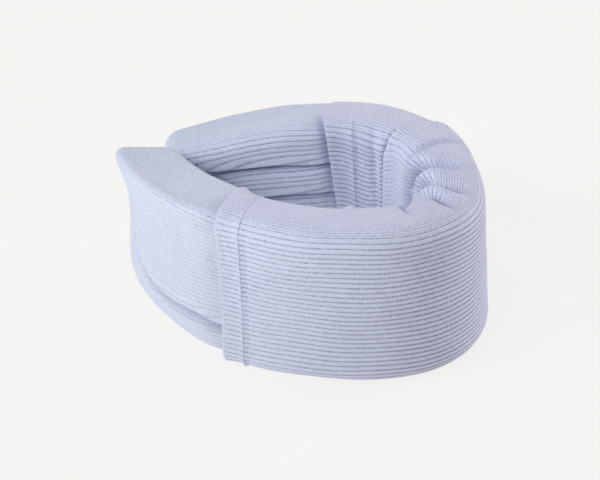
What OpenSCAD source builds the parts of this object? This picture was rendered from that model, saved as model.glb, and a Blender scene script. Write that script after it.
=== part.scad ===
// Soft cervical collar: one long foam strip in a knitted cover, wrapped into an oval ring,
// with a second ribbed knit sleeve drawn over its middle.
// The strip is described by a station number: 0 is near the tail end, then come the back,
// the tight right-hand bend, the front and the wing end. One station is about 30 mm of strip.
// Across the strip, "depth" is measured inwards from the outside of the knitted cover, so the
// sleeve, which lies outside the cover, has negative depths.

/* [Strip] */
// Height of the collar in the middle of the strip
collar_h = 90; // [80:1:100]
// How much lower the top edge is at the two square-cut ends
end_drop = 12; // [6:1:16]
// How far the wing's tip is lifted off the surface below
tip_lift = 6; // [3:1:8]
// Thickness of the covered strip inside the sleeve
strip_t = 30; // [26:0.5:31]
// How much the foam swells where it leaves the sleeve
swell = 5; // [2:0.5:6]
// Rounding radius of the strip's long edges
edge_r = 10; // [7:0.5:12]
// How far the top of the right-hand bend leans inwards
bend_lean = 7; // [3:0.5:9]

/* [Knit layers] */
// Thickness of the inner knitted cover
cover_t = 1; // [0.8:0.1:1.4]
// Thickness of the outer knitted sleeve
sleeve_t = 1; // [0.8:0.1:1.4]
// Thickness of the turned-in layer of the sleeve's hems
hem_t = 0.5; // [0.4:0.1:0.8]
// Width of the sleeve's turned-in hems
hem_w = 10; // [6:0.5:14]
// Thickness of the sewing thread
thread_t = 0.5; // [0.3:0.1:0.8]
// Width of the closing seams on the two ends
seam_w = 3; // [2:0.5:4]

/* [Closure] */
// Length of the hook patch along the strip
hook_l = 34; // [24:1:36]
// Length of the loop patch along the strip
loop_l = 50; // [30:1:60]
// Height of both patches
patch_h = 50; // [36:1:54]
// Thickness of both patches
patch_t = 1.5; // [1:0.1:1.8]

/* [Flex lines] */
// Clearance between the pieces on either side of a flex line
flex_gap = 0.4; // [0.3:0.1:0.8]

/* [Hidden] */

// Guide points of the strip's middle line, seen from above, from the tail round to the wing.
// The middle line is a uniform cubic B-spline, so it runs smoothly beside them.
route = [[-106, 48], [-76, 49], [-46, 50], [-16, 51], [14, 53], [45, 52], [73, 30], [86, -6],
         [80, -41], [45, -56], [10, -51], [-18, -44], [-42, -28], [-62, -7], [-74, 18],
         [-78, 46], [-78, 74]];
// Middle of the finished ring in the guide points' coordinates, which becomes the origin
ring_middle = [1.75, -0.05];

// Stations of the free ends and of the flex lines
tail_end = 0.1;
tail_flex = 3.1;
bend_flex = 7;
wing_flex = 10.5;
wing_end = 13.35;

// Depths of the layers, measured inwards from the outside of the cover. Knit lies a slip from knit,
// and the foam and the patches, whose facets cut the curves otherwise, lie an ease from it.
slip = 0.1;
ease = 0.5;
core_depth = cover_t + ease;
sleeve_in = -(hem_t + 2 * slip);
sleeve_out = sleeve_in - sleeve_t;
hem_in = -slip;
hem_out = hem_in - hem_t;
base = -sleeve_out;

arc_steps = 3;
loop_n = 4 * (arc_steps + 1);
small = 0.001;

// Middle line
function span(u) = min(floor(u), len(route) - 4);
function weights(t) = [pow(1 - t, 3), 3 * pow(t, 3) - 6 * t * t + 4,
                       -3 * pow(t, 3) + 3 * t * t + 3 * t + 1, pow(t, 3)] / 6;
function centre(u) =
    let (i = span(u), w = weights(u - i))
    w[0] * route[i] + w[1] * route[i + 1] + w[2] * route[i + 2] + w[3] * route[i + 3]
    - ring_middle;
function slope(u) = (centre(u + small) - centre(u - small)) / (2 * small);
function outward(u) = let (s = slope(u)) [-s[1], s[0]] / norm(s);
function ahead(u, mm) = u + mm / norm(slope(u));

// Size of the covered strip at each station
function thickness(u) = strip_t + swell * lookup(u,
    [[0, 0.5], [2.5, 0.4], [tail_flex, 0], [wing_flex, 0], [11, 0.9], [12, 1], [wing_end, 0.5]]);
function top(u) = collar_h - base - end_drop * lookup(u,
    [[0, 1], [1, 0.5], [2, 0.1], [tail_flex, 0], [wing_flex, 0], [12, 0.1], [wing_end, 0.5]]);
function bottom(u) = base + tip_lift * lookup(u,
    [[tail_flex, 0], [wing_flex, 0], [12, 0.7], [wing_end, 1]]);
function lean(u) = bend_lean * lookup(u,
    [[4, 0], [6, -1], [8, -0.5], [9, 0], [wing_flex, 0], [13, 0.8]]) / collar_h;

// One point of the strip: x outwards from the middle line, z up
function place(u, x, z) =
    let (p = centre(u) + outward(u) * (x + lean(u) * z)) [p[0], p[1], z];

// Rounded outline of the strip at one station and depth, as [x, z] pairs.
// It starts at the outer top corner and goes over the top, down the inside and back.
function outline(u, depth) =
    let (x = thickness(u) / 2 - depth - (edge_r - depth), r = edge_r - depth,
         z1 = top(u) - depth - r, z0 = bottom(u) + depth + r,
         corners = [[x, z1], [-x, z1], [-x, z0], [x, z0]])
    [for (c = [0:3], k = [0:arc_steps])
        let (a = 90 * c + 90 * k / arc_steps) corners[c] + r * [cos(a), sin(a)]];
function ring(u, depth) = [for (p = outline(u, depth)) place(u, p[0], p[1])];
function stations(u0, u1, step) =
    let (n = ceil((u1 - u0) / step)) [for (i = [0:n]) u0 + (u1 - u0) * i / n];

// Triangles between ring a and ring b of a run whose rings hold n points each, and its flat ends
function wall(a, b, n) =
    [for (k = [0:n - 1]) let (m = (k + 1) % n)
        each [[a * n + k, b * n + m, a * n + m], [a * n + k, b * n + k, b * n + m]]];
function start_cap(a, n) = [[for (k = [0:n - 1]) a * n + k]];
function end_cap(a, n) = [[for (k = [n - 1:-1:0]) a * n + k]];

// A solid through a list of rings, each with the same number of points
module run(rings) {
    n = len(rings[0]);
    last = len(rings) - 1;
    polyhedron(
        points = [for (r = rings, p = r) p],
        faces = concat(start_cap(0, n), [for (i = [0:last - 1]) each wall(i, i + 1, n)],
                       end_cap(last, n)),
        convexity = 6);
}

// A piece of the strip between two stations and its hollow form, the knitted tube round it
module strip(u0, u1, depth, step = 0.3) {
    run([for (u = stations(u0, u1, step)) ring(u, depth)]);
}
module tube(u0, u1, outer_depth, inner_depth, step = 0.3) {
    u = stations(u0, u1, step);
    n = len(u);
    rings = concat([for (v = u) ring(v, outer_depth)],
                   [for (i = [n - 1:-1:0]) ring(u[i], inner_depth)]);
    polyhedron(
        points = [for (r = rings, p = r) p],
        faces = [for (i = [0:2 * n - 1]) each wall(i, (i + 1) % (2 * n), loop_n)],
        convexity = 8);
}

// A tube that is open at its mouth and closed by a panel as thick as its wall at its end.
// Its rings run from the mouth out to the end, and then back inside to the mouth.
module pocket(mouth, end, depth, step = 0.3) {
    forward = end > mouth;
    u = stations(min(mouth, end), max(mouth, end), step);
    n = len(u);
    closed = forward ? n - 1 : 0;
    inner_end = ahead(end, forward ? -depth : depth);
    shell = [for (v = u) ring(v, 0)];
    hollow = [for (i = [0:n - 1]) ring(i == closed ? inner_end : u[i], depth)];
    rings = concat(shell, [for (i = [n - 1:-1:0]) hollow[i]]);
    faces = [for (i = [0:2 * n - 1]) if (i != (forward ? n - 1 : 2 * n - 1))
        each wall(i, (i + 1) % (2 * n), loop_n)];
    caps = forward
        ? concat(end_cap(n - 1, loop_n), start_cap(n, loop_n))
        : concat(start_cap(0, loop_n), end_cap(2 * n - 1, loop_n));
    polyhedron(points = [for (r = rings, p = r) p], faces = concat(faces, caps), convexity = 8);
}

// Stations of the pieces' ends, clear of the flex lines
function before(u) = ahead(u, -flex_gap / 2);
function after(u) = ahead(u, flex_gap / 2);

// Foam core, cut into four at the flex lines
foam = "#f3efe2";
module core_tail() {
    color(foam) strip(ahead(tail_end, core_depth), before(tail_flex), core_depth, 0.5);
}
module core_back() {
    color(foam) strip(after(tail_flex), before(bend_flex), core_depth);
}
module core_front() {
    color(foam) strip(after(bend_flex), before(wing_flex), core_depth);
}
module core_wing() {
    color(foam) strip(after(wing_flex), ahead(wing_end, -core_depth), core_depth);
}

// Inner knitted cover, closed at the two free ends
cover_blue = "#cdd3ea";
module cover_tail() {
    color(cover_blue) pocket(before(tail_flex), tail_end, cover_t, 0.5);
}
module cover_back() {
    color(cover_blue) tube(after(tail_flex), before(bend_flex), 0, cover_t);
}
module cover_front() {
    color(cover_blue) tube(after(bend_flex), before(wing_flex), 0, cover_t);
}
module cover_wing() {
    color(cover_blue) pocket(after(wing_flex), wing_end, cover_t);
}

// Outer ribbed sleeve over the middle of the strip
sleeve_blue = "#c2c8e2";
module sleeve_back() {
    color(sleeve_blue) tube(after(tail_flex), before(bend_flex), sleeve_out, sleeve_in);
}
module sleeve_front() {
    color(sleeve_blue) tube(after(bend_flex), before(wing_flex), sleeve_out, sleeve_in);
}

// Hems: the sleeve's knit turned in at both mouths
module sleeve_back_hem() {
    u0 = after(tail_flex);
    color(sleeve_blue) tube(u0, ahead(u0, hem_w), hem_out, hem_in, 0.2);
}
module sleeve_front_hem() {
    u1 = before(wing_flex);
    color(sleeve_blue) tube(ahead(u1, -hem_w), u1, hem_out, hem_in, 0.2);
}

// A row of sewing round the sleeve, up the outside, over the top and down the inside
thread = "#dfe3f4";
row_end = 2 * (arc_steps + 1);
module hem_row(u) {
    low = sleeve_out - slip / 2;
    high = low - thread_t;
    u0 = ahead(u, -thread_t);
    u1 = ahead(u, thread_t);
    edges = [ring(u0, low), ring(u1, low), ring(u1, high), ring(u0, high)];
    color(thread) run([for (k = [0:row_end]) [for (e = edges) e[k]]]);
}
module back_hem_stitching() { hem_row(ahead(after(tail_flex), hem_w - 1)); }
module front_hem_stitching() { hem_row(ahead(before(wing_flex), 1 - hem_w)); }

// A flat patch sewn on one face: side is 1 on the outside of the strip, -1 on the inside
function face_x(u, side, off) = side * (thickness(u) / 2 + off);
function patch_ring(u, side, off0, off1, z0, z1) =
    let (loop = [[off0, z0], [off1, z0], [off1, z1], [off0, z1]])
    [for (p = side > 0 ? loop : [for (i = [3:-1:0]) loop[i]])
        place(u, face_x(u, side, p[0]), p[1])];
module panel(u0, u1, side, off0, off1, z0, z1, step = 0.25) {
    run([for (u = stations(u0, u1, step)) patch_ring(u, side, off0, off1, z0, z1)]);
}
module sewn_border(u0, u1, side, off, z0, z1) {
    w = 2 * thread_t;
    difference() {
        panel(u0, u1, side, off, off + thread_t, z0, z1);
        panel(ahead(u0, w), ahead(u1, -w), side, off - 1, off + 1, z0 + w, z1 - w);
    }
}

// Hook and loop closure: hooks inside the wing, loops outside the tail
patch_mid = collar_h / 2;
patch_z0 = patch_mid - patch_h / 2;
patch_z1 = patch_mid + patch_h / 2;
border = 2;
hook_u1 = ahead(wing_end, -12);
hook_u0 = ahead(hook_u1, -hook_l);
loop_u0 = ahead(tail_end, 12);
loop_u1 = ahead(loop_u0, loop_l);
patch_white = "#e9ebf2";
module hook_patch() {
    color(patch_white) panel(hook_u0, hook_u1, -1, ease, ease + patch_t, patch_z0, patch_z1);
}
module hook_patch_stitching() {
    color(thread) sewn_border(ahead(hook_u0, border), ahead(hook_u1, -border), -1,
        2 * ease + patch_t, patch_z0 + border, patch_z1 - border);
}
module loop_patch() {
    color(cover_blue) panel(loop_u0, loop_u1, 1, ease, ease + patch_t, patch_z0, patch_z1);
}
module loop_patch_stitching() {
    color(thread) sewn_border(ahead(loop_u0, border), ahead(loop_u1, -border), 1,
        2 * ease + patch_t, patch_z0 + border, patch_z1 - border);
}

// Upright seams that close the cover on its two ends
module end_seam(u0, u1) {
    z0 = bottom(u0) + edge_r;
    z1 = top(u0) - edge_r;
    color(thread) run([for (u = [u0, u1])
        [for (p = [[1, z0], [1, z1], [-1, z1], [-1, z0]]) place(u, p[0] * seam_w / 2, p[1])]]);
}
module tail_end_seam() { end_seam(ahead(tail_end, -1.1), ahead(tail_end, -slip)); }
module wing_end_seam() { end_seam(ahead(wing_end, slip), ahead(wing_end, 1.1)); }

core_tail();
core_back();
core_front();
core_wing();
cover_tail();
cover_back();
cover_front();
cover_wing();
sleeve_back();
sleeve_front();
sleeve_back_hem();
sleeve_front_hem();
back_hem_stitching();
front_hem_stitching();
tail_end_seam();
wing_end_seam();
hook_patch();
hook_patch_stitching();
loop_patch();
loop_patch_stitching();
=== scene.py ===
import math

import bmesh
import bpy
import numpy as np
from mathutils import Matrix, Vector


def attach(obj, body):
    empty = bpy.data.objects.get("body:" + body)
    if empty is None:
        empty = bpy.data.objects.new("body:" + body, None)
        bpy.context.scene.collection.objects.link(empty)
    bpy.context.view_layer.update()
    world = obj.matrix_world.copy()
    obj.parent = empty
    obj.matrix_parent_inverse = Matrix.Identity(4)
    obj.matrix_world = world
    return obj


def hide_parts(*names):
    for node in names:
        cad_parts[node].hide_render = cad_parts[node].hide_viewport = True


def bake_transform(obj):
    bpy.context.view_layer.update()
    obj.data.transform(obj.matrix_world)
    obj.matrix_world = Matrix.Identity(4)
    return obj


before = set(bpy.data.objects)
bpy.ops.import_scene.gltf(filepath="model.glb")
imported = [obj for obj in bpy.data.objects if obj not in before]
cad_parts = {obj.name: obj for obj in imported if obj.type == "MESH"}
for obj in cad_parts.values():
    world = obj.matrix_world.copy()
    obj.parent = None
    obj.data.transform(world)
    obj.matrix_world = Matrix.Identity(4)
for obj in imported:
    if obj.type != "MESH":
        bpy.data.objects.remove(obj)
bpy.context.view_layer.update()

MM = 0.001

# ---------------------------------------------------------------- the strip, as part.scad has it, in mm
# A station u is about 30 mm of strip: the tail end comes first, then the back, the tight bend,
# the front and the wing end. Depth runs inwards from the outside of the inner cover.
ROUTE_SHIFT = (1.75, -0.05)
ROUTE = np.array((
    (-106, 48), (-76, 49), (-46, 50), (-16, 51), (14, 53), (45, 52), (73, 30), (86, -6),
    (80, -41), (45, -56), (10, -51), (-18, -44), (-42, -28), (-62, -7), (-74, 18),
    (-78, 46), (-78, 74)), float) - ROUTE_SHIFT
TAIL_END, TAIL_FLEX, WING_FLEX, WING_END = 0.1, 3.1, 10.5, 13.35
COLLAR_H = 90.0
STRIP_T = 30.0
SWELL = 5.0         # how much thicker the free ends are
END_DROP = 12.0     # how far the top edge falls at the ends
TIP_LIFT = 6.0      # how far the wing's lower edge rises
EDGE_R = 10.0
BEND_LEAN = 7.0     # how far the tight bend leans in at the top
SLEEVE_OUT = -1.7   # depths of the sleeve's outside and inside
SLEEVE_IN = -0.75
COVER_IN = 0.8      # depth of the inner cover's inside
HEM_W = 10.0
CORE_DEPTH = 4.5    # deeper than the CAD core, so that no fold bares the foam
FRONT_ROW = 9.6     # rows of sewing, mm in from the two flex lines at the sleeve's mouths
BACK_ROW = 13.3
CORE_INSET = 6.5    # how far the pleats' steps lie back in the foam and in the cover under the sleeve
COVER_INSET = 3.5
KNIT_STEP = 1.45    # mm between rings of the detailed knit, and of the foam
FOAM_STEP = 2.5


def spline_weights(t):
    return ((1 - t) ** 3, 3 * t ** 3 - 6 * t * t + 4, -3 * t ** 3 + 3 * t * t + 3 * t + 1, t ** 3)


def centre(u):
    """Middle line of the strip at the stations u, seen from above."""
    u = np.asarray(u, float)
    i = np.clip(np.floor(u).astype(int), 0, len(ROUTE) - 4)
    w = spline_weights((u - i)[..., None])
    return sum(w[k] * ROUTE[i + k] for k in range(4)) / 6


def slope(u):
    """How the middle line runs, in mm per station."""
    return (centre(u + 0.001) - centre(u - 0.001)) / 0.002


def outward(u):
    """Unit vector from the middle line to the outside of the ring."""
    s = slope(u)
    return np.stack((-s[..., 1], s[..., 0]), -1) / np.linalg.norm(s, axis=-1, keepdims=True)


FINE_U = np.linspace(-0.5, 14.0, 2901)
FINE_S = np.concatenate(((0,), np.cumsum(np.linalg.norm(np.diff(centre(FINE_U), axis=0), axis=1))))


def along(u):
    """Length of strip up to station u."""
    return np.interp(u, FINE_U, FINE_S)


def station(s):
    """Station at a length of strip."""
    return np.interp(s, FINE_S, FINE_U)


def ahead(u, mm):
    """Station that lies mm further along the strip."""
    return station(along(u) + mm)


def soft_table(pairs, blur=0.35):
    """A value that runs smoothly through a few stations' values."""
    x, y = np.array(pairs, float).T
    values = np.interp(FINE_U, x, y)
    half = int(blur / (FINE_U[1] - FINE_U[0]))
    kernel = np.hanning(2 * half + 1)
    kernel /= kernel.sum()
    padded = np.concatenate((np.full(half, values[0]), values, np.full(half, values[-1])))
    return np.convolve(padded, kernel, "valid")


THICKNESS = STRIP_T + SWELL * soft_table(((0, 0.5), (2.5, 0.4), (TAIL_FLEX, 0), (WING_FLEX, 0), (11, 0.9),
                                          (12, 1), (WING_END, 0.5)))
TOP = COLLAR_H + SLEEVE_OUT - END_DROP * soft_table((
    (0, 1.6), (0.35, 1.2), (0.7, 0.98), (1.4, 0.45), (2.2, 0.1), (TAIL_FLEX, 0), (WING_FLEX, 0), (12, 0.1),
    (WING_END, 0.25)))
BOTTOM = -SLEEVE_OUT + TIP_LIFT * soft_table(((TAIL_FLEX, 0), (WING_FLEX, 0), (12, 0.7), (WING_END, 1)))
LEAN = BEND_LEAN / COLLAR_H * soft_table(((4, 0), (6, -1), (8, -0.5), (9, 0), (WING_FLEX, 0), (13, 0.8)))
FLARE = soft_table(((6.5, 0), (8, 1.5), (9.5, 2.0), (WING_FLEX, 2.1), (10.8, 1.0), (11.4, 0)), blur=0.25)
END_SLANT = 3.6     # the wing's end face is cut askew, waisted outside, with its top tip bent outwards
WAIST = 3.0
TIP_OUT = 1.8
FLOOR_Z = 0.15      # lowest the knit may come
LOW_R = EDGE_R - soft_table(((TAIL_FLEX, 0), (7, 0), (8, 1.5), (WING_FLEX, 2.5), (11, 3), (WING_END, 3)))
OUT_R = EDGE_R - soft_table(((9, 0), (10.6, 0), (10.9, 5.0), (12.4, 5.0), (WING_END, 3)), blur=0.15)
IN_R = EDGE_R - soft_table(((9, 0), (10.6, 0), (10.9, 3), (WING_END, 3)), blur=0.15)


def at(table, u):
    """Value of a soft_table at the stations u."""
    return np.interp(u, FINE_U, table)


def smooth(x, a, b):
    """0 on a's side, 1 on b's side, smooth between."""
    t = np.clip((x - a) / (b - a), 0, 1)
    return t * t * (3 - 2 * t)


def hump(x, width):
    """1 at x = 0, falling softly to nothing within about twice the width."""
    return np.exp(-(x / width) ** 2)


# ---------------------------------------------------------------- outline of the strip
def walk(line, marks, values):
    """Points of a line of points where the marks along it reach the given values."""
    return np.stack([np.interp(values, marks, line[:, k]) for k in range(line.shape[1])], -1)


def outline(u, depth, shares):
    """Closed outline at one station, as (x, z) and its outward normal, at the given shares of its length.
    It starts at the middle of the bottom, climbs the outside and comes down the inside."""
    half_t = at(THICKNESS, u) / 2 - depth
    z0, z1 = at(BOTTOM, u) + depth, at(TOP, u) - depth
    r_low, r_out, r_in = (min(max(at(radii, u) - depth, 0.4), half_t - 0.02)
                          for radii in (LOW_R, OUT_R, IN_R))
    corners = ((half_t - r_low, z0 + r_low, -90, r_low), (half_t - r_out, z1 - r_out, 0, r_out),
               (r_in - half_t, z1 - r_in, 90, r_in), (r_low - half_t, z0 + r_low, 180, r_low))
    points = []
    for cx, cz, start, r in corners:
        angles = np.radians(start + np.linspace(0, 90, 19))
        points.append(np.stack((cx + r * np.cos(angles), cz + r * np.sin(angles)), -1))
    seam = ((0, z0),)
    loop = np.concatenate((seam, *points, seam))
    gap = np.linalg.norm(np.diff(loop, axis=0), axis=1)
    length = np.concatenate(((0,), np.cumsum(gap)))
    total = length[-1]
    step = 0.5 / total
    t = walk(loop, length, ((shares + step) % 1) * total) - walk(loop, length, ((shares - step) % 1) * total)
    n = np.stack((t[:, 1], -t[:, 0]), -1)
    n /= np.maximum(np.linalg.norm(n, axis=1, keepdims=True), 1e-9)
    return walk(loop, length, shares * total), n


def outline_length(u):
    """Length of the sleeve's section at a station."""
    r = at(LOW_R, u) * 2 + at(OUT_R, u) + at(IN_R, u) - 4 * SLEEVE_OUT
    return 2 * (at(THICKNESS, u) - 2 * SLEEVE_OUT + at(TOP, u) - at(BOTTOM, u) - 2 * SLEEVE_OUT) \
        - (2 - math.pi / 2) * r


# ---------------------------------------------------------------- relief of the padded, knitted strip
# Places on the strip are (station, girth): girth is mm round the section from the middle of the
# top edge, positive down the inside of the ring and negative down its outside.
def curve_through(points, steps=12):
    """A smooth path through a few points (Catmull-Rom), one row per point of the result."""
    p = np.array(points, float)
    p = np.concatenate((2 * p[:1] - p[1:2], p, 2 * p[-1:] - p[-2:-1]))
    out = []
    for i in range(1, len(p) - 2):
        for t in np.arange(steps) / steps:
            out.append(0.5 * (2 * p[i] + (p[i + 1] - p[i - 1]) * t
                              + (2 * p[i - 1] - 5 * p[i] + 4 * p[i + 1] - p[i + 2]) * t * t
                              + (3 * p[i] - 3 * p[i + 1] + p[i + 2] - p[i - 1]) * t ** 3))
    out.append(p[-2])
    return np.array(out)


class Field:
    """Displacement of the strip's surface over a grid of places: push outwards, slide round the
    section and shift along the strip, all in mm."""

    def __init__(self, u, g, inset=0.0):
        self.u, self.g, self.inset = u, g, inset
        self.s = along(u)
        self.push = np.zeros_like(u)
        self.slide = np.zeros_like(u)
        self.shift = np.zeros_like(u)
        self.valley = np.zeros_like(u)
        # painted shade, 0 to 1, that darkens the knit's colour in folds, pits and gaps
        self.hollow = np.zeros_like(u)

    def near(self, path):
        """Signed distance from a path of (station, girth, ...) points, unit vector away from it,
        and the values that go with the nearest point of the path."""
        pts = curve_through(path)
        xy = np.stack((along(pts[:, 0]), pts[:, 1]), -1)
        best = np.full(self.u.shape, 1e9)
        sign, dx, dy = np.ones_like(best), np.zeros_like(best), np.zeros_like(best)
        extra = [np.zeros_like(best) for _ in range(pts.shape[1] - 2)]
        for i in range(len(xy) - 1):
            ax, ay = xy[i]
            bx, by = xy[i + 1] - xy[i]
            px, py = self.s - ax, self.g - ay
            t = np.clip((px * bx + py * by) / (bx * bx + by * by), 0, 1)
            ex, ey = px - t * bx, py - t * by
            d = np.hypot(ex, ey)
            m = d < best
            best = np.where(m, d, best)
            sign = np.where(m, np.where(bx * py - by * px >= 0, 1.0, -1.0), sign)
            dx, dy = np.where(m, ex, dx), np.where(m, ey, dy)
            for k, values in enumerate(extra):
                here = pts[i, 2 + k] * (1 - t) + pts[i + 1, 2 + k] * t
                extra[k] = np.where(m, here, values)
        safe = np.maximum(best, 1e-6)
        return best * sign, dx / safe, dy / safe, extra

    def crease(self, path, width):
        """A valley along (station, girth, depth) points, with painted shade in it. Valleys that meet don't
        add up.
        """
        d, _, _, (depth,) = self.near(path)
        shape = np.exp(-np.abs(d / width) ** 1.4)
        self.valley = np.minimum(self.valley, -depth * shape)
        # painted shade in the valley
        self.hollow = np.maximum(self.hollow, np.clip(depth / 4.5, 0, 1) * shape ** 1.6)

    def swell(self, path, width):
        """A soft ridge along (station, girth, height) points."""
        d, _, _, (height,) = self.near(path)
        self.push = self.push + height * hump(d, width)

    def pleat(self, path, swell=14.0, sink=14.0, turn=1.2, lap=0.5):
        """A lip, on the left of the path, that hangs over a pit on its right. The path's points are
        (station, girth, height of the lip, depth of the pit)."""
        d, dx, dy, (up, down) = self.near(path)
        reach = np.maximum(-d, 0) / (sink * (0.3 + 0.7 * down / max(p[3] for p in path)))
        d = d - self.inset
        lip = up * np.exp(-np.abs(d) / swell)
        pit = -down * (1 - smooth(reach, 0.45, 1.4))
        self.push = self.push + pit + (lip - pit) * smooth(d, -turn, turn)
        # painted shadow in the pit under the lip
        shade = np.clip(down / 5, 0, 1) * (1 - smooth(reach, 0.3, 1.15))
        self.hollow = np.maximum(self.hollow, shade * (1 - smooth(d, -turn, 0.5 * turn)))
        if self.inset == 0:
            over = lap * (up + down) * hump(d, 1.6 * turn)
            self.slide = self.slide - over * dy
            self.shift = self.shift - over * dx


def tail_relief(f):
    """Two long pleats along the inside of the tail, where its cover hangs in steps."""
    f.pleat(((3.3, 34.5, 1.6, 2.2), (2.5, 32.8, 2.0, 3.4), (1.46, 29.0, 2.4, 5.0), (0.66, 22.7, 2.4, 6.5),
             (0.3, 19.0, 1.4, 3.0)), swell=10, sink=10)
    f.pleat(((3.4, 53.5, 1.6, 2.2), (2.5, 52.0, 2.0, 3.6), (1.9, 50.5, 2.2, 5.0), (1.3, 49.0, 1.8, 4.8),
             (0.6, 47.0, 0.3, 0.5)), swell=10, sink=10)


def bend_relief(f):
    """The roll of padding and the wrinkles that run out from the inner top edge of the tight bend."""
    f.pleat(((4.45, 84, 0.8, 1.0), (4.42, 60, 3.6, 4.0), (4.42, 33, 5.0, 4.6), (4.45, 21, 5.0, 4.6),
             (4.52, 9.6, 4.6, 3.6), (4.62, 2.2, 4.0, 2.4), (4.76, -5.5, 3.4, 1.6), (4.9, -14, 2.8, 0.8),
             (5.0, -26, 1.0, 0.2)), swell=14, sink=5, lap=0.2)
    f.crease(((5.1, 60, 1.5), (5.2, 39, 6.5), (5.42, 25.5, 8.4), (5.58, 17.3, 8.0), (5.74, 10.7, 6.6),
              (5.80, 4.1, 4.8), (5.9, -2, 2.8), (6.0, -9, 0.6), (6.05, -14, 0.0)), 3.4)
    f.crease(((6.0, 40, 4.0), (6.16, 19.7, 7.0), (6.42, 12.8, 6.6), (6.48, 6.0, 5.4), (6.56, -1.3, 3.4),
              (6.62, -9, 1.0), (6.66, -14, 0.0)), 3.0)
    f.crease(((7.1, 26, 4.0), (7.0, 13.4, 6.0), (6.95, 9.0, 5.4), (7.0, 2.2, 4.0), (7.05, -7, 1.8),
              (7.1, -13, 0.0)), 3.2)
    f.crease(((7.4, 24, 3.0), (7.6, 14.0, 3.4), (7.72, 8.0, 2.4), (7.7, -2, 0.4), (7.7, -8, 0.0)), 2.4)
    f.swell(((5.0, 50, 0.5), (5.15, 20, 1.6), (5.2, 4, 1.6), (5.3, -10, 0.0)), 6)
    f.swell(((5.8, 36, 1.0), (5.95, 20, 2.2), (6.1, 8, 2.4), (6.2, -4, 1.2), (6.3, -12, 0.0)), 4)
    f.swell(((6.6, 26, 1.0), (6.65, 14, 2.0), (6.7, 6, 2.0), (6.8, -6, 0.4), (6.85, -12, 0.0)), 4)
    f.crease(((5.16, 26, 0.4), (5.22, 15, 1.6), (5.27, 8, 2.4), (5.26, 0, 2.2), (5.32, -8, 1.4),
              (5.36, -15, 0.0)), 2.2)
    f.swell(((7.3, 22, 0.6), (7.32, 12, 1.2), (7.36, 4, 1.0), (7.4, -6, 0.0)), 3.6)
    f.swell(((3.98, 12, -0.8), (4.06, 31, -1.8), (4.14, 60, -1.8)), 3.0)
    f.swell(((5.2, -14, 1.0), (5.3, -24, 1.2), (5.3, -40, 0.0)), 8)
    inside = smooth(f.g, 2, 24)
    f.slide = f.slide + 5.0 * inside * smooth(f.u, 3.0, 4.0) * (1 - smooth(f.u, 4.2, 4.7))


def front_relief(f):
    """A small pucker on the inner top edge of the front."""
    f.swell(((8.66, 16, 1.6), (8.64, 9, 1.5), (8.6, 2, 0.0)), 2.2)


def wing_relief(f):
    """The wing's outer face ends below in a lip that curls up round its far lower corner, over the
    set-back band and the roll that the wing stands on."""
    f.pleat(((10.1, -79, 0.6, 3.0), (10.5, -78.5, 1.6, 6.0), (11.2, -77.0, 2.2, 6.6),
             (11.7, -75.7, 2.4, 6.2), (12.2, -71.5, 2.2, 5.2), (12.55, -64.7, 1.6, 3.8),
             (12.76, -55, 0.8, 2.4), (12.84, -44, 0.4, 1.4), (12.92, -33, 0.2, 0.6),
             (13.0, -22, 0.0, 0.0)), swell=14, sink=8.5, turn=1.3)
    f.swell(((13.1, -60, 0.6), (12.9, -70, 1.2), (12.5, -79, 1.6), (11.8, -86, 1.6), (11.0, -89, 1.2),
             (10.4, -90, 0.6)), 5)


def mouth_relief(f):
    """Next to the sleeve's two mouths the inner cover is drawn in, and a painted shadow lies on the inside
    along the back mouth.
    """
    f.push = f.push - 1.3 * hump(f.s - along(WING_FLEX), 6)
    mm = f.s - along(TAIL_FLEX)
    inside = smooth(f.g, 2, 14)
    f.push = f.push - 1.8 * inside * hump(mm, 5)
    mouth_mm = 0.18 * f.g - 8.5
    # painted shadow on the inside, along the back mouth
    shade = 0.75 * inside * (1 - smooth(f.g, 60, 80)) * hump(mm - mouth_mm, 2.6)
    f.hollow = np.maximum(f.hollow, shade)
    f.push = f.push + 0.9 * (1 - inside) * hump(np.minimum(mm, 0), 24) * (1 - smooth(mm, 0, 3))


def hem_relief(f):
    """The sleeve's double edges: a rolled rim and a raised row of sewing with a narrow gap beside it.
    Both are faint over the top, and those of the back mouth are faint on the outside too."""
    mm = along(WING_FLEX) - f.s
    row = mm - FRONT_ROW
    side = 0.35 + 0.65 * smooth(np.abs(f.g), 8, 24)
    f.push = f.push + 0.8 * hump(mm, 1.4) + 1.0 * hump(mm, 6)
    f.push = f.push + side * (0.6 * hump(row, 1.1) - 0.22 * hump(row - 2.1, 0.9) - 0.3 * hump(row + 2.0, 0.8))
    # painted shade in the gap beside the front row of sewing
    f.hollow = np.maximum(f.hollow, 0.3 * (side - 0.35) * hump(row - 2.1, 0.8))
    mm = f.s - along(TAIL_FLEX)
    row = mm - BACK_ROW
    inside = smooth(f.g, 2, 14)
    f.push = f.push + 0.15 * inside * hump(mm, 1.6) + 0.8 * inside * hump(mm, 6)
    f.push = f.push + inside * (0.6 * hump(row, 1.6) - 0.3 * hump(row - 2.8, 1.2))


def unevenness(f):
    """Slow waves in the padding, and ribs that wander a little."""
    f.push = f.push + 0.22 * np.sin(f.s / 9 + f.g / 14) * np.sin(f.g / 8.5 - f.s / 21 + 1.0)
    f.slide = f.slide + 0.28 * np.sin(f.s / 7.3 + f.g / 17) + 0.3 * np.sin(f.s / 19 - f.g / 9 + 2.0)


def relief(u, g, hems, inset):
    """Displacement at station u and g mm round from the middle of the top edge. The sleeve has hems;
    what lies under it has none, but is drawn in at the sleeve's mouths. The steps of the pleats lie
    inset mm further back in the layers below, which don't lap over."""
    f = Field(u, g, inset)
    bend_relief(f)
    front_relief(f)
    if hems:
        hem_relief(f)
    else:
        tail_relief(f)
        wing_relief(f)
        mouth_relief(f)
    unevenness(f)
    f.push = f.push + f.valley
    return f


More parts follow.
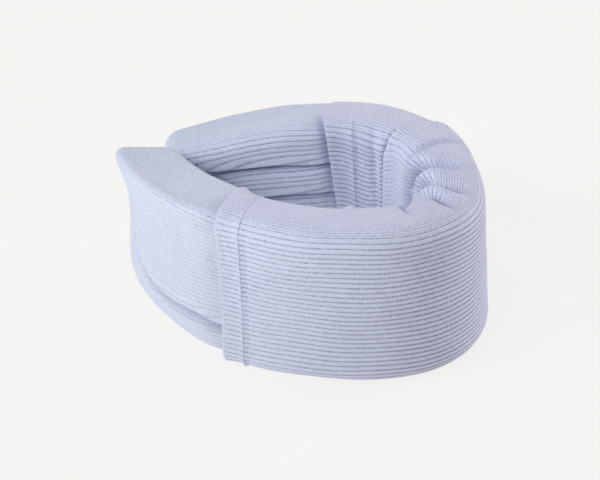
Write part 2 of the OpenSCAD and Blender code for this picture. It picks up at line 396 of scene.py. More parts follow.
def rib_height(u, g):
    """Share of the ribs' full height: the knit is stretched flat over the top edge and the wing's end."""
    top = np.exp(-(g / 19) ** 4)
    wing = 0.12 * smooth(u, WING_FLEX, 10.7) * smooth(-g, 8, 20)
    return (1 - 0.72 * top) * (1 - 0.75 * smooth(u, 12.2, 12.9)) * (1 - 0.7 * on_lobe(u, g)) * (1 - wing)


# How much darker the grooves are painted inside the ring, by station: painted shade, lighter on the lit lobe
# of the bend.
INNER_GROOVES = soft_table(((0, 0.5), (3, 0.6), (3.3, 0.5), (4.3, 0.55), (4.5, -0.2), (5.2, -0.2),
                            (5.4, 0.5), (7.5, 0.4), (WING_END, 0.2)), blur=0.12)


def on_lobe(u, g):
    """1 on the padded lobe right of the ridge, inside the bend, where the knit is stretched smooth."""
    return smooth(u, 4.4, 4.6) * (1 - smooth(u, 5.2, 5.5)) * smooth(g, 2, 12)


def groove_tone_and_shade(u, g):
    """How dark the grooves between the ribs are painted, partly as painted shade: most on the front and the
    inside, least on the lit wing.
    """
    inside = smooth(g, 8, 24)
    outside = smooth(-g, 8, 22)
    front = 0.15 + 0.75 * smooth(u, 10.0, 7.4)
    wing = smooth(u, 10.45, 10.6)
    lit_wing = -0.2 - 0.3 * smooth(u, 10.8, 12.6)
    # painted shadow on the grooves in the valley beside the bend's ridge
    ridge_shadow = 0.6 * inside * hump(u - 4.25, 0.12)
    top = 0.95 - 0.35 * outside
    outer = outside * (front * (1 - wing) + lit_wing * wing)
    return top - 0.3 * inside + inside * at(INNER_GROOVES, u) + ridge_shadow + outer


class Knit:
    """How many ribs a knit tube has round the strip, how deep the grooves between them are, and how
    much closer they sit on the outside than on the inside."""

    PHASES = {6: (0, 0.12, 0.31, 0.5, 0.69, 0.88), 4: (0, 0.2, 0.5, 0.8), 2: (0, 0.5)}

    def __init__(self, ribs, deep, uneven=0.0, per_rib=6):
        self.ribs, self.per_rib = ribs, per_rib
        phase = np.array(self.PHASES[per_rib])
        self.place = (np.arange(ribs)[:, None] + phase[None, :]).ravel()
        share = self.place / ribs
        self.shares = share - uneven * np.sin(np.pi * share) ** 2
        self.profile = np.tile(-deep * (1 - np.sin(np.pi * phase) ** 0.5), ribs)


def settle(xz, n, u, g, lift, edge=None, inset=0.0):
    """World points, in metres, for outline points (x, z) with normals n at the stations u and girths g:
    lifted off the outline, moved by the relief and set down on the floor."""
    f = relief(u, g, edge is not None, inset)
    t = np.stack((-n[..., 1], n[..., 0]), -1)
    xz = xz + n * (f.push + lift)[..., None] + t * f.slide[..., None]
    x, z = xz[..., 0], xz[..., 1]
    outer = smooth(x, -5, 12)
    x = x + outer * at(FLARE, u) * np.clip(1 - z / 34, 0, 1) ** 1.5
    x = x + TIP_OUT * outer * smooth(u, 12.2, 13.2) * smooth(z, 62, 88)
    x = x - WAIST * outer * smooth(u, 11.8, 13.0) * (1 - smooth(z, 58, 86)) * smooth(z, 20, 42)
    shift = f.shift + END_SLANT * smooth(u, 12.2, 13.2) * x / 17
    if edge is not None:
        shift = shift + edge(u, g)
    z = FLOOR_Z + np.logaddexp(0, (z - FLOOR_Z) * 3) / 3
    u = ahead(u, shift)
    x = x + at(LEAN, u) * z
    spot = centre(u) + outward(u) * x[..., None]
    return np.concatenate((spot, z[..., None]), -1) * MM, f


def sections(u, depth, knit, ribbed, edge=None, inset=0.0):
    """Rings of points, in metres, at the stations u and depths given, one ribbed value per ring, and
    what the knit's material needs to know about each point."""
    u, depth, ribbed = np.broadcast_arrays(np.asarray(u, float), depth, ribbed)
    xz, n, g = [], [], []
    for ui, di in zip(u, depth):
        points, normals = outline(ui, di, knit.shares)
        xz.append(points)
        n.append(normals)
        g.append((knit.shares - 0.5) * outline_length(ui))
    xz, n, g = np.array(xz), np.array(n), np.array(g)
    uu = np.repeat(u[:, None], g.shape[1], 1)
    lift = knit.profile[None, :] * ribbed[:, None] * rib_height(uu, g)
    rings, f = settle(xz, n, uu, g, lift, edge, inset)
    # grooves painted darker still in the painted shade of folds, pits and gaps
    tone = groove_tone_and_shade(uu, g) + 1.2 * f.hollow
    if edge is not None:
        tone = tone * (1 - 0.9 * hump(f.s - along(WING_FLEX), 1.5))
    return rings, {"hollow": f.hollow, "groove_tone_and_shade": tone}


def place(u, g, depth, lift, edge=None):
    """World points, in metres, at stations u and girths g, lifted off the strip's outline at a depth."""
    u, g, lift = np.broadcast_arrays(np.asarray(u, float), np.asarray(g, float), lift)
    xz, n = np.empty(u.shape + (2,)), np.empty(u.shape + (2,))
    for k in np.ndindex(u.shape):
        points, normals = outline(u[k], depth, np.array((g[k] / outline_length(u[k]) + 0.5,)))
        xz[k], n[k] = points[0], normals[0]
    return settle(xz, n, u, g, lift, edge)[0]


# ---------------------------------------------------------------- meshes
def face_outwards(mesh):
    """Turn the whole closed mesh over if the fronts of its faces point inwards."""
    shell = bmesh.new()
    shell.from_mesh(mesh)
    inside_out = shell.calc_volume(signed=True) < 0
    shell.free()
    if inside_out:
        mesh.flip_normals()


def new_object(name, verts, faces, uvs=None, material=None, notes=None):
    mesh = bpy.data.meshes.new(name)
    mesh.from_pydata(verts, [], faces)
    if uvs is not None:
        layer = mesh.uv_layers.new(name="knit")
        layer.data.foreach_set("uv", np.asarray(uvs, np.float32).ravel())
    mesh.shade_smooth()
    mesh.validate()
    face_outwards(mesh)
    for key, values in (notes or {}).items():
        layer = mesh.attributes.new(key, "FLOAT", "POINT")
        layer.data.foreach_set("value", np.asarray(values, np.float32).ravel())
    ob = bpy.data.objects.new(name, mesh)
    bpy.context.scene.collection.objects.link(ob)
    if material:
        mesh.materials.append(material)
    return ob


def loft(name, made, s_values, knit, material, closed_loop=False):
    """A mesh through rings of the same number of points. UV map "knit" holds (mm along, rib number)."""
    rings, notes = made
    n, m = rings.shape[:2]
    k = np.arange(m)
    k1 = (k + 1) % m
    share, share1 = knit.place, np.append(knit.place[1:], knit.ribs)
    faces, uvs = [], []
    for i in range(n if closed_loop else n - 1):
        j = (i + 1) % n
        faces.append(np.stack((i * m + k, j * m + k, j * m + k1, i * m + k1), -1))
        si, sj = np.full(m, s_values[i]), np.full(m, s_values[j])
        uvs.append(np.stack((si, share, sj, share, sj, share1, si, share1), -1).reshape(m, 4, 2))
    faces = np.concatenate(faces).tolist()
    uvs = np.concatenate(uvs).reshape(-1, 2)
    if not closed_loop:
        faces += [list(range(m)), list(range((n - 1) * m, n * m))[::-1]]
        uvs = np.concatenate((uvs, np.zeros((2 * m, 2))))
    return new_object(name, rings.reshape(-1, 3).tolist(), faces, uvs, material, notes=notes)


def stations(u0, u1, step):
    """Stations from u0 to u1, at most step mm apart."""
    s0, s1 = along(u0), along(u1)
    n = max(2, int(math.ceil(abs(s1 - s0) / step)))
    return station(np.linspace(s0, s1, n + 1))


# ---------------------------------------------------------------- materials
def material(name):
    mat = bpy.data.materials.new(name)
    mat.use_nodes = True
    nodes, links = mat.node_tree.nodes, mat.node_tree.links
    return mat, nodes, links, nodes["Principled BSDF"]


def math_node(nodes, links, op, a, b=None):
    node = nodes.new("ShaderNodeMath")
    node.operation = op
    for socket, value in zip(node.inputs, (a, b)):
        if value is None:
            continue
        if isinstance(value, (int, float)):
            socket.default_value = value
        else:
            links.new(value, socket)
    return node.outputs[0]


def ramp(nodes, links, value, low, high):
    """0 below low, 1 above high, smooth between."""
    node = nodes.new("ShaderNodeMapRange")
    node.interpolation_type = "SMOOTHSTEP"
    links.new(value, node.inputs[0])
    node.inputs[1].default_value = low
    node.inputs[2].default_value = high
    return node.outputs[0]


def noise_node(nodes, links, scale, detail):
    """Noise fixed to the piece, from 0 to 1."""
    coords = nodes.new("ShaderNodeTexCoord")
    noise = nodes.new("ShaderNodeTexNoise")
    links.new(coords.outputs["Object"], noise.inputs["Vector"])
    noise.inputs["Scale"].default_value = scale
    noise.inputs["Detail"].default_value = detail
    return noise.outputs[0]


def note_node(nodes, key):
    """One of the values that sections() leaves on each point."""
    node = nodes.new("ShaderNodeAttribute")
    node.attribute_name = key
    return node.outputs["Fac"]


def mix_colour(nodes, links, factor, a, b):
    mix = nodes.new("ShaderNodeMix")
    mix.data_type = "RGBA"
    links.new(factor, mix.inputs["Factor"])
    for key, value in (("A", a), ("B", b)):
        if isinstance(value, tuple):
            mix.inputs[key].default_value = (*value, 1)
        else:
            links.new(value, mix.inputs[key])
    return mix.outputs["Result"]


GROOVE_DARK, HOLE_DARK = 0.42, 1.3
FUZZ_SCALE, STRAND_SCALE, PATCH_SCALE = 2600, 900, 60   # noise cells per metre


def knit_material(name, light, dark, deep, stitch=1.15):
    """Ribs of small slanting stitches, with a broken line of dark holes in each groove. On the top edge,
    where the knit is stretched, every rib shows its two halves. Folds, pits and gaps carry painted shade:
    they are mixed towards a darker, deeper colour."""
    mat, nodes, links, bsdf = material(name)
    uv = nodes.new("ShaderNodeUVMap")
    uv.uv_map = "knit"
    split = nodes.new("ShaderNodeSeparateXYZ")
    links.new(uv.outputs[0], split.inputs[0])
    mm_along, rib = split.outputs[0], split.outputs[1]
    facing = nodes.new("ShaderNodeSeparateXYZ")
    links.new(nodes.new("ShaderNodeNewGeometry").outputs["Normal"], facing.inputs[0])

    def m(op, a, b=None):
        return math_node(nodes, links, op, a, b)

    def around_zero(noise, share):
        return m("MULTIPLY", m("SUBTRACT", noise, 0.5), share)

    top = ramp(nodes, links, facing.outputs[2], 0.55, 0.9)
    across = m("ABSOLUTE", m("SUBTRACT", m("FRACT", rib), 0.5))
    half_across = m("ABSOLUTE", m("SUBTRACT", m("FRACT", m("MULTIPLY", rib, 2.0)), 0.5))
    groove = ramp(nodes, links, across, 0.26, 0.48)
    half_groove = m("MULTIPLY", ramp(nodes, links, half_across, 0.2, 0.5), 0.85)
    groove = m("ADD", m("MULTIPLY", groove, m("SUBTRACT", 1.0, top)), m("MULTIPLY", half_groove, top))
    chevron = m("ADD", m("MULTIPLY", mm_along, 1 / stitch), m("MULTIPLY", across, 1.6))
    loop = m("ABSOLUTE", m("SINE", m("MULTIPLY", chevron, math.pi)))
    gap = m("SUBTRACT", 1.0, loop)
    fuzz = noise_node(nodes, links, FUZZ_SCALE, 3)
    strands = noise_node(nodes, links, STRAND_SCALE, 2)
    patches = noise_node(nodes, links, PATCH_SCALE, 4)
    hole = m("MULTIPLY", groove, m("POWER", gap, 1.3))
    lines = m("ADD", m("MULTIPLY", groove, GROOVE_DARK), m("MULTIPLY", hole, HOLE_DARK))
    lines = m("MULTIPLY", lines, m("ADD", around_zero(strands, 2.4), 1.0))
    # groove lines darkened more where the knit's grooves carry painted shade
    tone = m("MULTIPLY", lines, note_node(nodes, "groove_tone_and_shade"))
    tone = m("ADD", tone, m("MULTIPLY", gap, 0.14))
    tone = m("ADD", tone, around_zero(fuzz, 0.6))
    tone = m("ADD", tone, around_zero(strands, 0.8))
    tone = m("ADD", tone, around_zero(patches, 0.3))
    knit_colour = mix_colour(nodes, links, tone, light, dark)
    # folds, pits and gaps mixed towards the deep colour: painted shade
    hollow = m("MULTIPLY", note_node(nodes, "hollow"), 0.8)
    links.new(mix_colour(nodes, links, hollow, knit_colour, deep), bsdf.inputs["Base Color"])
    height = m("ADD", m("MULTIPLY", loop, 0.14), m("MULTIPLY", fuzz, 0.16))
    height = m("SUBTRACT", height, m("MULTIPLY", groove, 0.12))
    bump = nodes.new("ShaderNodeBump")
    bump.inputs["Distance"].default_value = MM
    bump.inputs["Strength"].default_value = 0.9
    links.new(height, bump.inputs["Height"])
    links.new(bump.outputs[0], bsdf.inputs["Normal"])
    bsdf.inputs["Roughness"].default_value = 0.95
    bsdf.inputs["Specular IOR Level"].default_value = 0.12
    bsdf.inputs["Sheen Weight"].default_value = 0.3
    bsdf.inputs["Sheen Roughness"].default_value = 0.6
    bsdf.inputs["Sheen Tint"].default_value = (0.93, 0.94, 1, 1)
    return mat


def plain_material(name, colour, roughness=0.9, scale=1500, depth=0.1):
    """A colour with a fine grain, depth mm deep."""
    mat, nodes, links, bsdf = material(name)
    noise = noise_node(nodes, links, scale, 2)
    shaded = tuple(c * 0.85 for c in colour)
    links.new(mix_colour(nodes, links, noise, shaded, colour), bsdf.inputs["Base Color"])
    bump = nodes.new("ShaderNodeBump")
    bump.inputs["Distance"].default_value = MM * depth
    links.new(noise, bump.inputs["Height"])
    links.new(bump.outputs[0], bsdf.inputs["Normal"])
    bsdf.inputs["Roughness"].default_value = roughness
    return mat


# Each knit's colours: light, dark for the grooves, and deep, the painted shade in folds, pits and gaps.
SLEEVE = knit_material("sleeve_knit", (0.635, 0.66, 0.80), (0.29, 0.30, 0.455), (0.30, 0.31, 0.48))
COVER = knit_material("inner_knit", (0.64, 0.68, 0.80), (0.31, 0.33, 0.50), (0.31, 0.33, 0.53), stitch=1.1)
THREAD = plain_material("thread", (0.72, 0.75, 0.88))
FOAM = plain_material("foam", (0.93, 0.9, 0.8), scale=900, depth=0.4)
COVER_PLAIN = plain_material("cover_welt", (0.58, 0.62, 0.78), scale=900, depth=0.3)
HOOKS = plain_material("hook_tape", (0.85, 0.87, 0.92), roughness=0.5)
LOOPS = plain_material("loop_tape", (0.7, 0.74, 0.88))


# ---------------------------------------------------------------- camera and light
CAMERA_UP = math.radians(35)
RING_MIDDLE = (0, 0, 0.04)
INNER_WALL = (0.036, 0.052, 0.048)   # inside the ring, at the back on the right


def build_camera():
    """One metre away, in front and above."""
    camera = bpy.data.objects.new("camera", bpy.data.cameras.new("camera"))
    bpy.context.scene.collection.objects.link(camera)
    target = Vector((-ROUTE_SHIFT[0], -12, COLLAR_H / 2)) * MM
    camera.location = target + Vector((0, -math.cos(CAMERA_UP), math.sin(CAMERA_UP)))
    camera.rotation_euler = (math.pi / 2 - CAMERA_UP, 0, 0)
    camera.data.lens = 115.8
    camera.data.sensor_width = 36
    camera.data.shift_y = 0.0133
    camera.data.clip_start = 0.05
    bpy.context.scene.camera = camera


def add_light(name, kind, spot, power, colour, aim=RING_MIDDLE):
    light = bpy.data.lights.new(name, kind)
    light.energy = power
    light.color = colour
    ob = bpy.data.objects.new(name, light)
    ob.location = spot
    ob.rotation_euler = (Vector(aim) - Vector(spot)).to_track_quat("-Z", "Y").to_euler()
    bpy.context.scene.collection.objects.link(ob)
    return light


def build_light():
    """Soft daylight from the left, a rim from the back right, and a small spot into the ring."""
    world = bpy.data.worlds.new("world")
    world.use_nodes = True
    world.node_tree.nodes["Background"].inputs[0].default_value = (0.98, 0.95, 1.0, 1)
    world.node_tree.nodes["Background"].inputs[1].default_value = 0.28
    bpy.context.scene.world = world
    bpy.context.scene.view_settings.view_transform = "Standard"
    add_light("key", "AREA", (-1.6, -0.6, 0.85), 17, (0.91, 0.97, 1)).size = 0.7
    add_light("fill", "AREA", (-0.75, -1.2, 1.25), 7.5, (0.95, 0.97, 1)).size = 0.5
    add_light("rim", "AREA", (1.6, 0.75, 0.45), 20, (1, 0.97, 1)).size = 0.5
    add_light("top", "AREA", (-0.3, 0.3, 1.6), 5.5, (1, 0.91, 0.95)).size = 1.0
    inside = add_light("inside", "SPOT", (-0.55, -1.15, 1.15), 100, (0.94, 0.98, 1), INNER_WALL)
    inside.spot_size = math.radians(3.1)
    inside.spot_blend = 1
    inside.shadow_soft_size = 0.08


def build_floor():
    """A pale floor that glows a little, so that it stays even."""
    far = 6.0
    corners = ((-far, -far, 0), (far, -far, 0), (far, far, 0), (-far, far, 0))
    floor = new_object("floor", corners, ((0, 1, 2, 3),))
    mat, nodes, links, bsdf = material("floor")
    bsdf.inputs["Base Color"].default_value = (0.92, 0.92, 0.90, 1)
    bsdf.inputs["Roughness"].default_value = 1
    glow = nodes.new("ShaderNodeEmission")
    glow.inputs[0].default_value = (0.93, 0.925, 0.9, 1)
    glow.inputs[1].default_value = 1.0
    both = nodes.new("ShaderNodeMixShader")
    both.inputs[0].default_value = 0.85
    links.new(bsdf.outputs[0], both.inputs[1])
    links.new(glow.outputs[0], both.inputs[2])
    links.new(both.outputs[0], nodes["Material Output"].inputs[0])
    floor.data.materials.append(mat)


build_camera()
build_light()
build_floor()


# ---------------------------------------------------------------- pieces
def tube_path(u0, u1, outer, inner, step, inner_step):
    """Stations, depths and rib depths of a tube's rings: out along the outside, round the mouth,
    back along the inside and round the other mouth."""
    middle, radius = (outer + inner) / 2, (inner - outer) / 2
    turn = np.radians((30, 60, 90, 120, 150))
    out, back = stations(u0, u1, step), stations(u1, u0, inner_step)
    far = np.array([ahead(u1, radius * math.sin(a)) for a in turn])
    near = np.array([ahead(u0, -radius * math.sin(a)) for a in turn[::-1]])
    u = np.concatenate((out, far, back, near))
    depth = np.concatenate((np.full(len(out), outer), middle - radius * np.cos(turn),
                            np.full(len(back), inner), middle - radius * np.cos(turn[::-1])))
    ribbed = np.concatenate((np.ones(len(out)), np.cos(turn / 2), np.zeros(len(back)),
                             np.cos(turn[::-1] / 2)))
    return u, depth, ribbed


END_ROUND = 7.0
END_RINGS = 7


def pillow_path(u_mouth, u_end, depth, step):
    """Stations, depths and rib depths of a closed pillow end: straight along, round the edge and in
    over the end face, with the mm that each ring lies along the knit."""
    sign = 1 if u_end > u_mouth else -1
    u_turn = float(ahead(u_end, -sign * END_ROUND))
    run = stations(u_mouth, u_turn, step)
    angles = np.radians(np.linspace(9, 90, 10))
    turn = np.array([ahead(u_turn, sign * END_ROUND * math.sin(a)) for a in angles])
    left = at(THICKNESS, u_end) / 2 - depth - END_ROUND
    inwards = np.linspace(0, left - 0.15, END_RINGS + 1)[1:]
    u = np.concatenate((run, turn, np.full(END_RINGS, u_end)))
    depths = np.concatenate((np.full(len(run), depth), depth + END_ROUND * (1 - np.cos(angles)),
                             depth + END_ROUND + inwards))
    ribbed = np.concatenate((np.ones(len(run)), np.maximum(np.cos(angles), 0) ** 0.3,
                             np.full(END_RINGS, 0.4)))
    lengths = np.concatenate((along(run), along(u_turn) + sign * END_ROUND * angles,
                              along(u_turn) + sign * (END_ROUND * math.pi / 2 + inwards)))
    return u, depths, ribbed, lengths


def wing_blend(piece):
    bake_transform(piece)


def tail_blend(piece):
    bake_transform(piece)


SLEEVE_KNIT = Knit(82, 0.5)
COVER_KNIT = Knit(88, 0.3, uneven=0.03)
LINING_KNIT = Knit(88, 0.3, uneven=0.03, per_rib=4)
FOAM_SKIN = Knit(80, 0.0, per_rib=2)


def mouth_slant(u, g):
    """How far the sleeve's two mouths run ahead or lag behind the flex lines, in mm."""
    back = np.interp(g, (-60, -8, 4, 18, 62, 90), (0, 1.2, -6.0, -3.4, 3.6, 3.6))
    front = np.interp(g, (-90, -30, -5, 8, 30), (-1.2, 0.9, 4.2, 6.6, 6.6))
    return back * (1 - smooth(along(u) - along(TAIL_FLEX), 0, 26)) \
        + front * smooth(along(u) - along(WING_FLEX), -26, 0)


def build_sleeve():
    u, depth, ribbed = tube_path(TAIL_FLEX, WING_FLEX, SLEEVE_OUT, SLEEVE_IN, KNIT_STEP, 6.0)
    rings = sections(u, depth, SLEEVE_KNIT, ribbed, mouth_slant)
    sleeve = loft("ribbed_sleeve", rings, along(u), SLEEVE_KNIT, SLEEVE, closed_loop=True)
    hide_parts("sleeve_back", "sleeve_front")
    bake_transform(sleeve)


def build_hem(name, u0, u1, body, node):
    """The sleeve's edge, turned in under it."""
    u, depth, _ = tube_path(u0, u1, SLEEVE_IN + 0.05, -0.15, 2.0, 5.0)
    rings = sections(u, depth, SLEEVE_KNIT, 0.0, mouth_slant)
    hem = loft(name, rings, along(u), SLEEVE_KNIT, SLEEVE, closed_loop=True)
    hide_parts(node)
    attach(hem, body)


def build_wing():
    u, depth, ribbed, lengths = pillow_path(ahead(WING_FLEX, -6), WING_END, 0.0, KNIT_STEP)
    wing = loft("wing_cover", sections(u, depth, COVER_KNIT, ribbed), lengths, COVER_KNIT, COVER)
    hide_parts("cover_wing")
    wing_blend(wing)


def build_tail():
    u, depth, ribbed, lengths = pillow_path(ahead(TAIL_FLEX, 6), TAIL_END, 0.0, KNIT_STEP)
    tail = loft("tail_cover", sections(u, depth, COVER_KNIT, ribbed), lengths, COVER_KNIT, COVER)
    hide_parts("cover_tail")
    tail_blend(tail)


def foam_end(name, u_mouth, u_end):
    """A free end of the foam strip."""
    u, depth, _, lengths = pillow_path(u_mouth, u_end, CORE_DEPTH, FOAM_STEP)
    return loft(name, sections(u, depth, FOAM_SKIN, 0.0, inset=CORE_INSET), lengths, FOAM_SKIN, FOAM)


def build_foam():
    """One strip of foam, cut at the two mouths of the sleeve."""
    u = stations(ahead(TAIL_FLEX, 1), ahead(WING_FLEX, -1), FOAM_STEP)
    rings = sections(u, CORE_DEPTH, FOAM_SKIN, 0.0, inset=CORE_INSET)
    core = loft("foam_core_middle", rings, along(u), FOAM_SKIN, FOAM)
    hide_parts("core_back", "core_front")
    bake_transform(core)
    wing = foam_end("foam_core_wing", ahead(WING_FLEX, -0.8), ahead(WING_END, -CORE_DEPTH))
    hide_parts("core_wing")
    wing_blend(wing)
    tail = foam_end("foam_core_tail", ahead(TAIL_FLEX, 0.8), ahead(TAIL_END, CORE_DEPTH))
    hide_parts("core_tail")
    tail_blend(tail)


def build_inner_cover():
    """The inner cover's hidden length, under the sleeve."""
    u, depth, ribbed = tube_path(ahead(TAIL_FLEX, 6.5), ahead(WING_FLEX, -6.5), 0.0, COVER_IN, 3.0, 6.0)
    rings = sections(u, depth, LINING_KNIT, ribbed, inset=COVER_INSET)
    cover = loft("inner_cover_middle", rings, along(u), LINING_KNIT, COVER, closed_loop=True)
    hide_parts("cover_back", "cover_front")
    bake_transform(cover)


# ---------------------------------------------------------------- sewing and closure
def tubes(name, lines, radius, material, sides=6, taper=True):
    """One mesh of many short threads, each a closed tube along its line of points in metres."""
    askew = np.array((0.31, 0.47, 0.82))
    verts, faces = [], []
    for line in lines:
        line = np.asarray(line, float)
        run = np.gradient(line, axis=0)
        run /= np.linalg.norm(run, axis=1, keepdims=True) + 1e-12
        side = np.cross(run, askew)
        side /= np.linalg.norm(side, axis=1, keepdims=True)
        up = np.cross(side, run)
        n = len(line)
        size = np.full(n, radius)
        if taper:
            size = radius * (0.35 + 0.65 * np.sin(np.pi * (np.arange(n) + 0.5) / n) ** 0.5)
        first = len(verts)
        for i in range(n):
            for k in range(sides):
                a = 2 * math.pi * k / sides
                verts.append(tuple(line[i] + (side[i] * math.cos(a) + up[i] * math.sin(a)) * size[i]))
        for i in range(n - 1):
            for k in range(sides):
                k1 = (k + 1) % sides
                faces.append((first + i * sides + k, first + i * sides + k1,
                              first + (i + 1) * sides + k1, first + (i + 1) * sides + k))
        faces.append(tuple(first + k for k in range(sides))[::-1])
        faces.append(tuple(first + (n - 1) * sides + k for k in range(sides)))
    return new_object(name, verts, faces, material=material)


STITCH_POINTS = 7
ARCH = np.sin(np.linspace(0.12, math.pi - 0.12, STITCH_POINTS)) ** 0.6   # how a stitch rises and dips


def build_hem_stitches(name, u, shift, sunk, body, node):
    """One stitch over every rib, all the way round the sleeve, sunk mm into the knit."""
    rng = np.random.default_rng(11)
    half = outline_length(u) / 2
    pitch = 2 * half / SLEEVE_KNIT.ribs
    middles = (np.arange(SLEEVE_KNIT.ribs) + 0.5) * pitch - half
    t = np.linspace(-0.5, 0.5, STITCH_POINTS)
    g = middles[:, None] + t[None, :] * 0.86 * pitch
    mm = shift + rng.uniform(-0.12, 0.12, len(middles))[:, None] + t[None, :] * 0.35
    points = place(ahead(u, mm), g, SLEEVE_OUT, np.broadcast_to(0.32 * ARCH - sunk, g.shape), mouth_slant)
    points[..., 2] = np.maximum(points[..., 2], 0.35 * MM)
    row = tubes(name, points, 0.26 * MM, THREAD)
    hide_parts(node)
    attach(row, body)


WELT_LOW, WELT_HIGH = 14, COLLAR_H - 24
WELT_R = 0.9


def end_line(u_end, sign):
    """The upright middle line of an end face, from below to above, in metres."""
    depth = at(THICKNESS, u_end) / 2 - 0.15
    rings, _ = sections([float(ahead(u_end, sign * 0.25))], [depth], FOAM_SKIN, [0.0])
    line = rings[0][:len(rings[0]) // 2]
    keep = (line[:, 2] > WELT_LOW * MM) & (line[:, 2] < WELT_HIGH * MM)
    line = line[keep][np.argsort(line[keep][:, 2])]
    return walk(line, line[:, 2], np.linspace(line[0, 2], line[-1, 2], 260))


def build_end_seam(name, u_end, sign, body, node):
    """A rolled welt down the end of the cover, whipped over with slanting stitches."""
    line = end_line(u_end, sign)
    run = slope(u_end)
    out_of_end = np.append(run / np.linalg.norm(run), 0) * sign
    across = np.append(outward(u_end), 0)
    welt = tubes(name, [line[::4] + out_of_end * 0.1 * MM], WELT_R * MM, COVER_PLAIN, sides=12, taper=False)
    turn = np.linspace(-1.3, 1.3, STITCH_POINTS)[:, None]
    whip = across * np.sin(turn) * 1.1 * MM + out_of_end * (np.cos(turn) * 1.05 + 0.05) * MM
    step = 8
    stitches = [line[i:i + STITCH_POINTS] + whip for i in range(4, len(line) - step, step)]
    sewing = tubes(name + "_sewing", stitches, 0.24 * MM, THREAD)
    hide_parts(node)
    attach(welt, body)
    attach(sewing, body)


def girth_at(u, z, side):
    """Girth of the place at height z on the outside (side 1) or the inside (side -1) face."""
    shares = np.linspace(0.02, 0.48, 200) if side > 0 else np.linspace(0.98, 0.52, 200)
    xz, _ = outline(u, 0.0, shares)
    return (np.interp(z, xz[:, 1], shares) - 0.5) * outline_length(u)


PATCH_H, PATCH_T, PATCH_ROUND, PATCH_BORDER = 50.0, 1.5, 4.0, 2.0
PATCH_GAP = 12.0                        # from the strip's ends
HOOK_LENGTH, LOOP_LENGTH = 34.0, 50.0   # along the strip's middle line


def patch_places(u0, u1, side, inset, a, b):
    """Stations and girths of places on a patch with rounded corners; a and b run from -1 to 1."""
    length = along(u1) - along(u0)
    half_l, half_h = length / 2 - inset, PATCH_H / 2 - inset
    x, y = a * half_l, b * half_h
    r = PATCH_ROUND - min(inset, 2.5)
    dx, dy = np.maximum(np.abs(x) - half_l + r, 0), np.maximum(np.abs(y) - half_h + r, 0)
    size = np.hypot(dx, dy)
    keep = np.where(size > 0, np.maximum(dx, dy) / np.maximum(size, 1e-9), 1)
    x = np.sign(x) * (np.abs(x) - dx + dx * keep)
    y = np.sign(y) * (np.abs(y) - dy + dy * keep)
    u = station((along(u0) + along(u1)) / 2 + x)
    marks = np.linspace(u0, u1, 9)
    middle = [girth_at(float(mark), COLLAR_H / 2, side) for mark in marks]
    return u, np.interp(u, marks, middle) - side * y


def build_patch(name, u0, u1, side, material, body_blend, node):
    """A tape patch: a thin pad with softly rounded rim, closed at the back."""
    nu, ng = 35, 41
    a, b = np.meshgrid(np.linspace(-1, 1, nu), np.linspace(-1, 1, ng), indexing="ij")
    u, g = patch_places(u0, u1, side, 0.0, a, b)
    rim = np.minimum((1 - np.abs(a)) * (along(u1) - along(u0)) / 2, (1 - np.abs(b)) * PATCH_H / 2)
    front = 0.5 + (PATCH_T - 0.4) * (1 - np.exp(-rim / 0.6))
    top = place(u, g, 0.0, front).reshape(-1, 3)
    bottom = place(u, g, 0.0, np.full(u.shape, 0.2)).reshape(-1, 3)
    index = np.arange(nu * ng).reshape(nu, ng)
    quads = np.stack((index[:-1, :-1], index[1:, :-1], index[1:, 1:], index[:-1, 1:]), -1).reshape(-1, 4)
    border = np.concatenate((index[:, 0], index[-1, 1:], index[-2::-1, -1], index[0, -2:0:-1]))
    after = np.roll(border, -1)
    far = nu * ng
    walls = np.stack((after, after + far, border + far, border), -1)
    faces = np.concatenate((quads[:, ::-1], quads + far, walls))
    patch = new_object(name, np.concatenate((top, bottom)).tolist(), faces.tolist(), material=material)
    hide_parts(node)
    body_blend(patch)
    return patch


def build_patch_border(name, u0, u1, side, body_blend, node):
    """A row of stitches round a patch, just inside its edge."""
    edge = np.linspace(-1, 1, 400)
    one = np.ones(400)
    a = np.concatenate((edge, one, edge[::-1], -one))
    b = np.concatenate((-one, edge, one, edge[::-1]))
    u, g = patch_places(u0, u1, side, PATCH_BORDER, a, b)
    step = np.hypot(np.diff(along(u)), np.diff(g))
    length = np.concatenate(((0,), np.cumsum(step)))
    count = int(length[-1] / 2.6)
    starts = np.arange(count) * length[-1] / count
    t = starts[:, None] + np.linspace(0, 2.1, STITCH_POINTS)[None, :]
    su, sg = np.interp(t, length, u), np.interp(t, length, g)
    points = place(su, sg, 0.0, np.broadcast_to(PATCH_T + 0.3 * ARCH - 0.05, su.shape))
    row = tubes(name, points, 0.27 * MM, THREAD)
    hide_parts(node)
    body_blend(row)


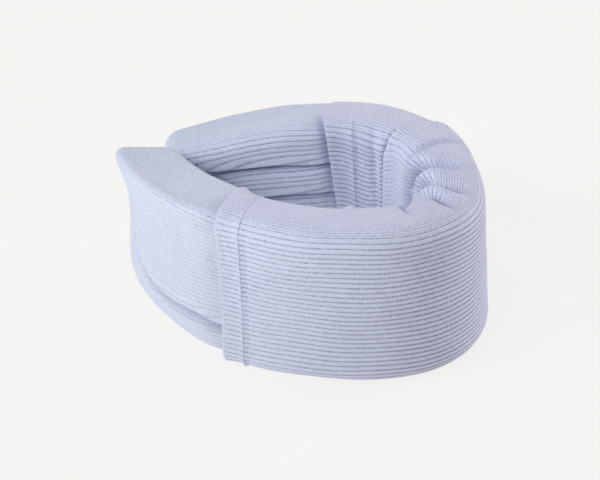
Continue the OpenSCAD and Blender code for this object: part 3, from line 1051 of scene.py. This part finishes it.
def build_nap(name, u0, u1, side, thread, material, body_blend):
    """Many tiny bent threads standing on a patch: hooks or loops. thread holds the mm between them,
    their radius and their shape as (mm across, mm up)."""
    spacing, radius, shape = thread
    rng = np.random.default_rng(23)
    inset = PATCH_BORDER + 1.2
    nu = int((along(u1) - along(u0) - 2 * inset) / spacing)
    ng = int((PATCH_H - 2 * inset) / spacing)
    a, b = np.meshgrid(np.linspace(-1, 1, nu), np.linspace(-1, 1, ng), indexing="ij")
    u, g = patch_places(u0, u1, side, inset, a, b)
    u = ahead(u.ravel(), rng.uniform(-0.25, 0.25, u.size) * spacing)
    g = g.ravel() + rng.uniform(-0.25, 0.25, g.size) * spacing
    turn = rng.uniform(-0.5, 0.5, u.size)
    across, up = np.array(shape).T
    su = ahead(np.repeat(u[:, None], len(up), 1), np.sin(turn)[:, None] * across[None, :])
    sg = g[:, None] + np.cos(turn)[:, None] * across[None, :]
    points = place(su, sg, 0.0, np.broadcast_to(PATCH_T + 0.05 + up, su.shape))
    nap = tubes(name, points, radius * MM, material, sides=4, taper=False)
    body_blend(nap)
    return nap


HOOK_THREAD = (1.9, 0.13, ((0, -0.1), (0, 0.5), (0.15, 0.85), (0.45, 0.95), (0.7, 0.7)))
LOOP_THREAD = (1.7, 0.11, ((-0.45, -0.1), (-0.4, 0.5), (0, 0.85), (0.4, 0.5), (0.45, -0.1)))


def build_closure():
    """Hooks inside the wing and loops outside the tail, each patch sewn round its edge."""
    u1 = float(ahead(WING_END, -PATCH_GAP))
    u0 = float(ahead(u1, -HOOK_LENGTH))
    hooks = build_patch("hook_tape", u0, u1, -1, HOOKS, wing_blend, "hook_patch")
    nap = build_nap("hook_tape_hooks", u0, u1, -1, HOOK_THREAD, HOOKS, wing_blend)
    build_patch_border("hook_tape_stitches", u0, u1, -1, wing_blend, "hook_patch_stitching")
    u0 = float(ahead(TAIL_END, PATCH_GAP))
    u1 = float(ahead(u0, LOOP_LENGTH))
    loops = build_patch("loop_tape", u0, u1, 1, LOOPS, tail_blend, "loop_patch")
    nap = build_nap("loop_tape_loops", u0, u1, 1, LOOP_THREAD, LOOPS, tail_blend)
    build_patch_border("loop_tape_stitches", u0, u1, 1, tail_blend, "loop_patch_stitching")


build_sleeve()
build_hem("back_hem", ahead(TAIL_FLEX, 0.6), ahead(TAIL_FLEX, HEM_W), "back", "sleeve_back_hem")
build_hem("front_hem", ahead(WING_FLEX, -HEM_W), ahead(WING_FLEX, -0.6), "front", "sleeve_front_hem")
build_wing()
build_tail()
build_inner_cover()
build_foam()
build_hem_stitches("back_hem_stitches", TAIL_FLEX, BACK_ROW, 0.3, "back", "back_hem_stitching")
build_hem_stitches("front_hem_stitches", WING_FLEX, -FRONT_ROW, 0.12, "front", "front_hem_stitching")
build_end_seam("tail_end_welt", TAIL_END, -1, "tail", "tail_end_seam")
build_end_seam("wing_end_welt", WING_END, 1, "wing", "wing_end_seam")
build_closure()
